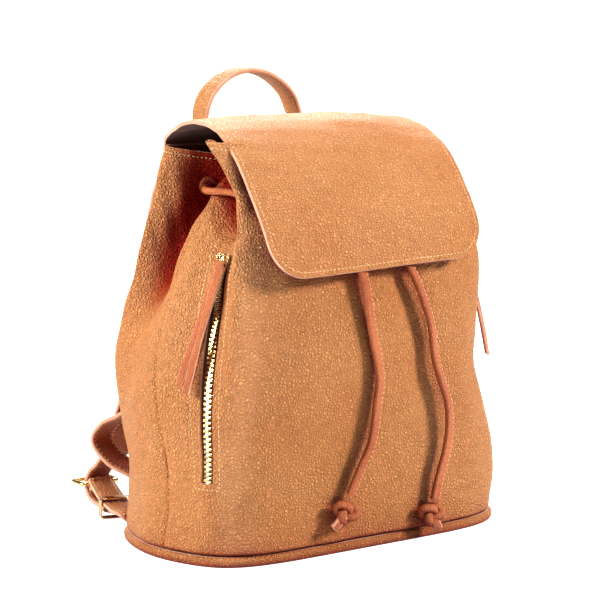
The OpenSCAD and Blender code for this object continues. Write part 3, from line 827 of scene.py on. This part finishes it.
def build_zip(side, label):
    """The tape and the pocket behind the window, and the chain's two rows of teeth."""
    top, foot, down, _, _ = zip_axes(side)
    v = np.linspace(ZIP_V[0] - 0.05, ZIP_V[1] + 0.08, 70)
    s = (ZIP + np.linspace(-10, 10, 14) * ZIP_MM) * side
    ss, vv = np.meshgrid(s, v)
    outer = body(ss, vv, -2.3 * MM)
    tape = shell(f"zip_tape_cloth_{label}", outer, outer - body_normal(ss, vv) * 0.6 * MM,
                 [TAPE, TAPE, TAPE])
    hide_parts(f"zip_tape_{label}")
    ss, vv = np.meshgrid(side * np.linspace(2.7, 5.3, 30), np.linspace(0.7, 3.3, 60))
    outer = body(ss, vv, -3.0 * MM)
    pocket = shell(f"pocket_cloth_{label}", outer, outer - body_normal(ss, vv) * 0.4 * MM,
                   [LINING, LINING, LINING])
    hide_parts(f"pocket_bag_{label}")
    count = 52
    pitch = np.linalg.norm(foot - top) / count
    verts, faces = [], []
    shape = [(-1, -0.5), (0.75, -0.5), (1, -0.25), (1, 0.25), (0.75, 0.5), (-1, 0.5)]
    hands = np.tile((-1, 1), count)
    at = (np.repeat(np.arange(count), 2) + 0.5 + 0.25 * hands) / count
    v_at = ZIP_V[1] + (ZIP_V[0] - ZIP_V[1]) * at
    places = body(side * ZIP, v_at, -1.5 * MM)
    normals = body_normal(side * ZIP, v_at)
    k = len(shape)
    for p, n, hand in zip(places, normals, hands):
        w = unit(np.cross(n, down)) * hand
        ids = list(range(len(verts), len(verts) + 2 * k))
        for z in (-0.7, 0.7):
            for x, y in shape:
                verts.append(p + w * (1.0 - 2.0 * x) * 0.95 * MM - down * y * pitch * 0.62
                             + n * z * MM * (1 if x < 0.9 else 0.8))
        faces.append(tuple(ids[:k][::-1]))
        faces.append(tuple(ids[k:]))
        faces += [(ids[j], ids[(j + 1) % k], ids[(j + 1) % k + k], ids[j + k]) for j in range(k)]
    teeth = mesh_object(f"zip_chain_{label}", verts, faces, [GOLD], smooth=False)
    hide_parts(f"zip_teeth_{label}", f"zip_stops_{label}")
    return [tape, pocket, teeth]


def box_mesh(name, size, bevel, material):
    """A block centred on the origin with softened edges."""
    x, y, z = (c / 2 for c in size)
    verts = [(i * x, j * y, k * z) for i in (-1, 1) for j in (-1, 1) for k in (-1, 1)]
    faces = [(0, 1, 3, 2), (4, 6, 7, 5), (0, 4, 5, 1), (2, 3, 7, 6), (0, 2, 6, 4), (1, 5, 7, 3)]
    obj = mesh_object(name, verts, faces, [material], smooth=False)
    mod = obj.modifiers.new("round", "BEVEL")
    mod.width = bevel
    mod.segments = 3
    bpy.context.view_layer.update()
    seen = obj.evaluated_get(bpy.context.evaluated_depsgraph_get())
    mesh = bpy.data.meshes.new_from_object(seen)
    obj.modifiers.clear()
    obj.data = mesh
    for p in mesh.polygons:
        p.use_smooth = True
    mesh.set_sharp_from_angle(angle=math.radians(40))
    return obj


def place(obj, origin, x, y, z):
    """Moves a piece's vertices so that its own axes run along x, y and z from origin."""
    turn = np.stack([x, y, z], axis=1)
    co = np.array([v.co for v in obj.data.vertices])
    co = co @ turn.T + origin
    obj.data.vertices.foreach_set("co", co.reshape(-1))
    if np.linalg.det(turn) < 0:
        obj.data.flip_normals()
    obj.data.update()
    return obj


def build_slider(side, label):
    top, foot, down, across, out = zip_axes(side)
    axes = (across, -down, out)
    at = top + down * 5 * MM
    plate = box_mesh(f"slider_plate_{label}", (6.0 * MM, 8.6 * MM, 1.1 * MM), 0.5 * MM, GOLD)
    place(plate, at + out * 3.3 * MM, *axes)
    arch = [(3.6, 3.8), (3.8, 5.4), (3.1, 6.2), (1.2, 6.2), (-2.5, 5.4), (-3.4, 3.9)]
    line = at + np.array([(0, y, z) for y, z in arch]) @ np.stack(axes) * MM
    bridge = tube(f"slider_bridge_{label}", line, 0.8 * MM, GOLD, 10)
    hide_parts(f"slider_{label}")
    return [plate, bridge]


def build_pull(side, label):
    """A wire loop through the slider's bridge and a long split leather tab folded over it."""
    top, foot, down, across, out = zip_axes(side)
    pivot = top + down * 1.6 * MM + out * 5.1 * MM
    corners = [(-3.4, 0.3), (3.4, 0.3), (3.4, -7.6), (-3.4, -7.6)]
    ring = []
    for k, (x, y) in enumerate(corners):
        for j in range(4):
            a = math.radians(90 * j / 3 + (180, 90, 0, -90)[k])
            cx, cy = x - math.copysign(1.2, x), y + (-1.2 if y > 0 else 1.2)
            ring.append((cx + 1.2 * math.cos(a), cy + 1.2 * math.sin(a)))
    order = sorted(range(len(ring)), key=lambda i: math.atan2(ring[i][1] + 3.2, ring[i][0]))
    pts = np.array([pivot + (across * ring[i][0] - down * ring[i][1]) * MM for i in order])
    loop = tube(f"pull_ring_{label}", pts, 0.8 * MM, GOLD, 10, closed=True)
    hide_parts(f"puller_{label}")
    lean = math.radians(12)
    way = unit(down * math.cos(lean) - across * math.sin(lean) + out * 0.07)
    wide = unit(np.cross(way, out))
    start = pivot + down * 7.6 * MM
    tabs = []
    halves = ((-1.0, -0.02, 88, 1.3), (1.1, 0.045, 84, -0.9))
    for k, (shift, spread, long, lift) in enumerate(halves):
        t = np.linspace(0, 1, 40)
        bend = np.sin(t * math.pi * 0.9) * 1.6
        places = start + (way * (t * long)[:, None] + wide * (shift + spread * t * long)[:, None]
                          + out * (lift + bend)[:, None]) * MM
        widths = (6.2 - 1.6 * t + 0.8 * np.sin(t * 9)) * MM
        tabs.append(sweep(f"pull_tab_{'ab'[k]}_{label}", places, np.tile(wide, (40, 1)), widths,
                          2.0 * MM, [TRIM, RAW]))
    a = np.linspace(0, 2 * math.pi, 24, endpoint=False)[:, None]
    wrap = start + (-down * (2.6 * np.cos(a)) + out * (2.2 * np.sin(a))) * MM
    collar = sweep(f"pull_wrap_{label}", np.concatenate([wrap, wrap[:1]]),
                   np.tile(across, (25, 1)), np.full(25, 7.0 * MM), 1.8 * MM, [TRIM, RAW])
    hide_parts(f"pull_tab_{label}")
    return [loop, collar] + tabs


# ---- drawstring ----
def build_string_end(name, route, node, turns):
    """One hanging end of the drawstring: a strip folded round its core and stitched down."""
    t = np.linspace(0, len(route) - 1, 110)
    places = spline(route, t) * MM
    sides = spline(turns, np.linspace(0, len(turns) - 1, 110))
    obj = sweep(name, places, sides, np.full(110, 7.8 * MM), 3.8 * MM, [TRIM, TRIM], 1.6 * MM, 5)
    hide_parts(node)
    _, u, n = frames(places, sides)
    line = places + u * 2.2 * MM - n * (1.9 * MM) * np.sign(n[:, 1:2])
    normals = -n * np.sign(n[:, 1:2])
    thread_row = stitches(name + "_stitches", [(line[18:], normals[18:])], THREAD, 3.4 * MM)
    return obj, thread_row, places


def build_knot(name, at, lean, node, tail):
    """An overhand knot: the cord wound once round itself, with its cut tail below."""
    a = np.linspace(0, 2 * math.pi, 96, endpoint=False)
    knot = np.stack([np.sin(a) + 2 * np.sin(2 * a), -1.15 * np.sin(3 * a),
                     np.cos(a) - 2 * np.cos(2 * a)], axis=1) * (2.9, 2.0, 2.2)
    c, s = math.cos(math.radians(lean)), math.sin(math.radians(lean))
    turn = np.array([[c, 0, s], [0, 1, 0], [-s, 0, c]])
    places = (knot @ turn.T + at) * MM
    obj = tube(name, places, 3.4 * MM, TRIM, 14, closed=True, flat=0.85)
    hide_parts(node)
    t = np.linspace(0, 1, 14)[:, None]
    end = np.array(at) + np.array(tail)
    line = (np.array(at) * (1 - t) + end * t + np.array((0, -1.2, 0)) * np.sin(t * 3)) * MM
    tail_obj = sweep(name + "_tail", line, np.tile((1.0, 0, 0.2), (14, 1)), np.full(14, 6.4 * MM),
                     3.4 * MM, [TRIM, RAW], 1.4 * MM)
    return obj, tail_obj


def build_eyelets():
    made = []
    for k, s in enumerate(EYELETS):
        for side in (-1, 1):
            p = body(side * s, EYELET_V, 0.9 * MM)
            n = body_normal(side * s, EYELET_V)
            u = unit(np.cross((0, 0, 1.0), n))
            w = np.cross(n, u)
            a = np.linspace(0, 2 * math.pi, 40, endpoint=False)[:, None]
            ring = p + (u * np.cos(a) + w * np.sin(a)) * 4.9 * MM
            made.append(tube(f"eyelet_{k}_{'lr'[side > 0]}", ring, 2.2 * MM, TRIM, 10, closed=True,
                             flat=0.4, up=tuple(u)))
    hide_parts("eyelet_washers")
    return made


def build_string_loop():
    """The drawstring's way in and out through the eyelets, round the gathered mouth."""
    front, ridge, gusset = EYELETS
    front_way = [(front, 3), (front, -6), (1.1, -9), (1.9, -9), (2.8, -8), (ridge, -6), (ridge, 4)]
    over_fold = [(-83, -18, 247), (-88.5, -4, 247), (-80, 14, 247)]
    back_way = [(gusset, 4), (gusset, -6), (7.1, -9), (8.2, -8), (9.4, -8)]
    front_part = [body(s, EYELET_V, lift * MM) for s, lift in front_way]
    back_part = [body(s, EYELET_V, lift * MM) for s, lift in back_way]
    half = np.array(front_part + [np.array(p) * MM for p in over_fold] + back_part)
    middle = body(10.0, EYELET_V, -8 * MM)[None]
    route = np.concatenate([half, middle, half[::-1] * (-1, 1, 1)])
    places = spline(route, np.linspace(0, len(route) - 1, 420))
    obj = tube("drawstring_held", places, 2.5 * MM, TRIM, 12, flat=1.0)
    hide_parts("drawstring_loop")
    return obj


# ---- shoulder straps ----
STRAP_ROUTE = [
    ((-78, 55.6, 254), (1, 0, 0), 30), ((-78, 58, 249), (1, 0, 0), 30),
    ((-78.4, 61.7, 242), (1, 0, 0), 30), ((-79.5, 64, 233), (1, 0, 0), 30),
    ((-80, 74, 205), (1, 0, 0), 30), ((-79, 81, 178), (1, 0, 0), 30),
    ((-80, 84, 145), (1, 0, 0), 30), ((-83, 90, 112), (1, 0, 0), 30), ((-86, 106, 80), (1, 0, 0), 28),
    ((-86, 124, 50), (1, 0, 0), 26), ((-87, 140, 34), (1, 0, 0), 22), ((-88, 152, 25), (1, 0, 0), 20),
    ((-89, 157, 15), (1, 0, 0), 20), ((-90, 151, 7), (1, 0, 0), 20), ((-93, 138, 5), (1, -0.2, 0), 20),
    ((-98, 118, 6), (1, -0.25, 0), 20), ((-103, 100, 7), (1, -0.25, 0), 20),
    ((-92, 88, 8), (1, -0.1, 0), 20), ((-87, 81, 20), (1, 0.1, 0), 20),
    ((-90, 85, 33), (1, 0.1, 0), 20), ((-106, 98, 45), (1, 0.2, 0), 20),
    ((-112, 107, 59), (1, 0.2, 0), 20), ((-109, 99, 72), (1, 0.1, 0), 20),
    ((-103, 86, 79), (1, 0, 0), 20), ((-97, 79, 84), (1, 0, 0), 14)]
LOWER_ROUTE = [((-113, 62.5, 12), (0.9, -0.4, 0), 14), ((-115, 66, 13), (0.9, -0.4, 0), 17),
               ((-113, 73, 12.5), (0.9, -0.4, 0), 20), ((-109, 88, 12.5), (0.95, -0.3, 0), 20),
               ((-103, 108, 13), (0.97, -0.25, 0), 20), ((-97, 126, 14.5), (1, -0.15, 0), 20),
               ((-92, 142, 17), (1, 0, 0), 20), ((-91, 146, 19.3), (1, 0, 0), 20),
               ((-91, 148.6, 16.8), (1, 0, 0), 20), ((-91, 146, 14.3), (1, 0, 0), 20),
               ((-93, 138, 12.2), (1, 0, 0), 20)]


def build_strap(name, route, side, thick, count):
    flip = np.array((side, 1, 1))
    t = np.linspace(0, len(route) - 1, count)
    places = spline([r[0] for r in route], t) * MM * flip
    sides = spline([r[1] for r in route], t) * flip
    widths = spline([[r[2]] for r in route], t)[:, 0] * MM
    obj = sweep(name, places, sides, widths, thick * MM, [TAN, RAW])
    _, u, n = frames(places, sides)
    lines = []
    for hand in (-1, 1):
        for face in (-1, 1):
            line = places + u * hand * (widths[:, None] / 2 - 2.6 * MM)
            line = line + n * face * (thick / 2 + 0.12) * MM
            lines.append((line[6:-6], n[6:-6] * face))
    rows = stitches(name + "_stitches", lines, THREAD, 3.4 * MM)
    return obj, rows


def build_buckle(side, label):
    bar = np.array((-91, 146, 17.0))
    flip = np.array((side, 1, 1))
    length = 17.0
    frame_line = rounded(30.0, length, 3.0, 6) + (0, length / 2)
    pts = bar + np.pad(frame_line, ((0, 0), (0, 1)))
    loop = tube(f"buckle_{label}", pts * MM * flip, 1.65 * MM, GOLD, 12, closed=True)
    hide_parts(f"buckle_frame_{label}")
    line = [bar + (0, -1.0, 2.6), bar + (0, 3, 3.2), bar + (0, 10, 3.1), bar + (0, 18.4, 2.4)]
    places = spline(line, np.linspace(0, 3, 20)) * MM * flip
    pin = tube(f"prong_{label}", places, 1.15 * MM, GOLD, 10)
    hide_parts(f"buckle_prong_{label}")
    return loop, pin


def build_keeper(side, label):
    low = [np.array(r[0], float) for r in LOWER_ROUTE]
    at = spline(low, [3.5])[0] + (1.8, 0, -3.4)
    d = unit(spline(low, [3.8])[0] - spline(low, [3.2])[0])
    x = unit(np.array((1, -0.25, 0)) - np.dot((1, -0.25, 0), d) * d)
    z = np.cross(x, d)
    flip = np.array((side, 1, 1))
    pts = [at + x * across + z * up for across, up in rounded(26.2, 14.2, 2.0, 5)]
    pts = np.array(pts + pts[:1]) * MM * flip
    n = len(pts)
    obj = sweep(f"keeper_band_{label}", pts, np.tile(d * flip, (n, 1)), np.full(n, 7.0 * MM),
                1.0 * MM, [GOLD, GOLD])
    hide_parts(f"keeper_{label}")
    return obj


# ---- the stage ----
def build_stage():
    """A white paper sweep: a floor that curves up into a backdrop, and studio lights."""
    g = Graph("paper")
    tooth = g.noise(800.0, 2.0)
    seen = g.add("ShaderNodeLightPath").outputs["Is Camera Ray"]
    g.finish(Base_Color=(0.60, 0.60, 0.60, 1), Roughness=0.8, Normal=g.bump(tooth, 0.05, 0.0002),
             Emission_Color=(1.0, 0.995, 0.985, 1), Emission_Strength=g.math("MULTIPLY", seen, 0.80))
    bend = [(2.0 + 1.2 * math.sin(a), 1.2 - 1.2 * math.cos(a))
            for a in np.linspace(0, math.pi / 2, 24)]
    line = [(-6.0, 0.0), *bend, (3.2, 7.0)]
    across = (-8.0, 8.0)
    way = np.array((0.583, 0.812))
    side = np.array((0.812, -0.583))
    verts = [(*(way * far + side * x), up) for far, up in line for x in across]
    faces = [(2 * i, 2 * i + 1, 2 * i + 3, 2 * i + 2) for i in range(len(line) - 1)]
    mesh_object("paper_sweep", verts, faces, [g.material])
    world = bpy.data.worlds.new("studio")
    world.use_nodes = True
    world.node_tree.nodes["Background"].inputs["Color"].default_value = (1.0, 0.985, 0.97, 1)
    world.node_tree.nodes["Background"].inputs["Strength"].default_value = 0.12
    bpy.context.scene.world = world
    lamps = (("key", (1.5, -1.9, 1.5), 0.6, 92, (1.0, 0.97, 0.92)),
             ("top", (0.1, 0.2, 2.1), 0.8, 30, (1.0, 0.98, 0.95)),
             ("back_top", (1.1, 1.6, 1.5), 0.9, 36, (1.0, 0.98, 0.95)),
             ("left_edge", (-2.0, 0.5, 0.9), 0.6, 62, (1.0, 0.98, 0.95)))
    for name, at, size, power, color in lamps:
        light = bpy.data.lights.new(name, "AREA")
        light.size = size
        light.energy = power
        light.color = color
        lamp = bpy.data.objects.new(name, light)
        lamp.location = at
        aim = Vector((0, 0, 0.15)) - lamp.location
        lamp.rotation_euler = aim.to_track_quat("-Z", "Y").to_euler()
        bpy.context.collection.objects.link(lamp)


def build_camera():
    """The photograph's view: low, from the front left, with a long lens."""
    azimuth, pitch, distance, height = math.radians(-35.69), math.radians(7.73), 1.4131, 0.3565
    camera = bpy.data.cameras.new("camera")
    camera.lens = 120.0
    camera.sensor_width = 36.0
    camera.shift_x = -0.019
    obj = bpy.data.objects.new("camera", camera)
    obj.location = (distance * math.sin(azimuth), -distance * math.cos(azimuth), height)
    ahead = Vector((-math.sin(azimuth) * math.cos(pitch), math.cos(azimuth) * math.cos(pitch),
                    -math.sin(pitch)))
    obj.rotation_euler = ahead.to_track_quat("-Z", "Y").to_euler()
    bpy.context.collection.objects.link(obj)
    bpy.context.scene.camera = obj


build_camera()
build_stage()
bpy.context.scene.view_settings.view_transform = "Standard"
bpy.context.scene.view_settings.look = "Medium High Contrast"

rigid = [build_front(), build_back(), build_base(), build_body_stitches(), *build_inside(),
         *build_eyelets(), build_string_loop()]

flap_back, flap_front = build_flap()
back_rows, front_rows = build_flap_stitches()
for obj in (flap_back, back_rows):
    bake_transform(obj)
for obj in (flap_front, front_rows):
    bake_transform(obj)

places, sides, widths = build_handle()
handle = sweep("handle_leather", places, sides, widths, 3.4 * MM, [TAN, RAW])
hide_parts("handle_strap", "handle_tabs")
_, u, n = frames(places, sides)
rows = [(places + u * hand * (widths[:, None] / 2 - 2.4 * MM) - n * 1.85 * MM, -n)
        for hand in (-1, 1)]
handle_rows = stitches("handle_stitches", rows, THREAD, 3.4 * MM)
for obj in (handle, handle_rows):
    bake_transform(obj)

for side, label in ((1, "left"), (-1, "right")):
    rigid += build_zip(side, label)
    for obj in build_slider(side, label):
        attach(obj, f"zip_slider_{label}")
    for obj in build_pull(side, label):
        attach(obj, f"zip_pull_{label}")
    strap, strap_rows = build_strap(f"strap_{label}", STRAP_ROUTE, side, 3.2, 260)
    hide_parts(f"shoulder_strap_{label}", f"strap_patch_{label}")
    for obj in (strap, strap_rows):
        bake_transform(obj)
    lower, lower_rows = build_strap(f"lower_{label}", LOWER_ROUTE, side, 3.0, 110)
    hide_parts(f"lower_strap_{label}")
    for obj in (lower, lower_rows):
        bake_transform(obj)
    for obj in (*build_buckle(side, label), build_keeper(side, label)):
        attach(obj, f"strap_{label}")

# The two hanging ends of the cord: its route from the eyelet, in mm, then its width's
# direction along the way, and the knot's place, lean and tail.
CORD_ENDS = {
    "left": ([(-15, -54, 247), (-16, -58, 240.5), (-17, -67.2, 224), (-17.5, -76, 207),
              (-15.4, -84, 186), (-12, -87.5, 155), (-6.6, -89, 124), (-8.3, -89, 107),
              (-11.7, -87.5, 79), (-20, -85.5, 60), (-28, -84.5, 43)],
             [(1, 0.3, 0), (1, 0.2, 0), (1, 0.4, 0)], (-32.5, -85, 31), 24, (-11, -1, -9)),
    "right": ([(15, -54, 247), (16, -58, 240.5), (17, -67.2, 224), (20, -76, 207), (27.7, -84, 187),
               (38.2, -87.5, 157), (42.2, -89, 129), (53.3, -88.5, 100), (56.2, -87.5, 82),
               (54.5, -86.5, 64), (49.2, -85, 43), (46.5, -84, 29)],
              [(1, 0.1, 0), (1, 0.5, 0), (1, 0, 0)], (42.6, -84.5, 19.5), 8, (5, -2, -11)),
}
for label, (route, turns, at, lean, tail) in CORD_ENDS.items():
    string, rows, line = build_string_end(f"string_end_{label}", route,
                                          f"drawstring_end_{label}", turns)
    knot, tail_piece = build_knot(f"knotted_{label}", at, lean, f"knot_{label}", tail)
    rigid += [string, rows, knot, tail_piece]
for obj in rigid:
    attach(obj, "bag")
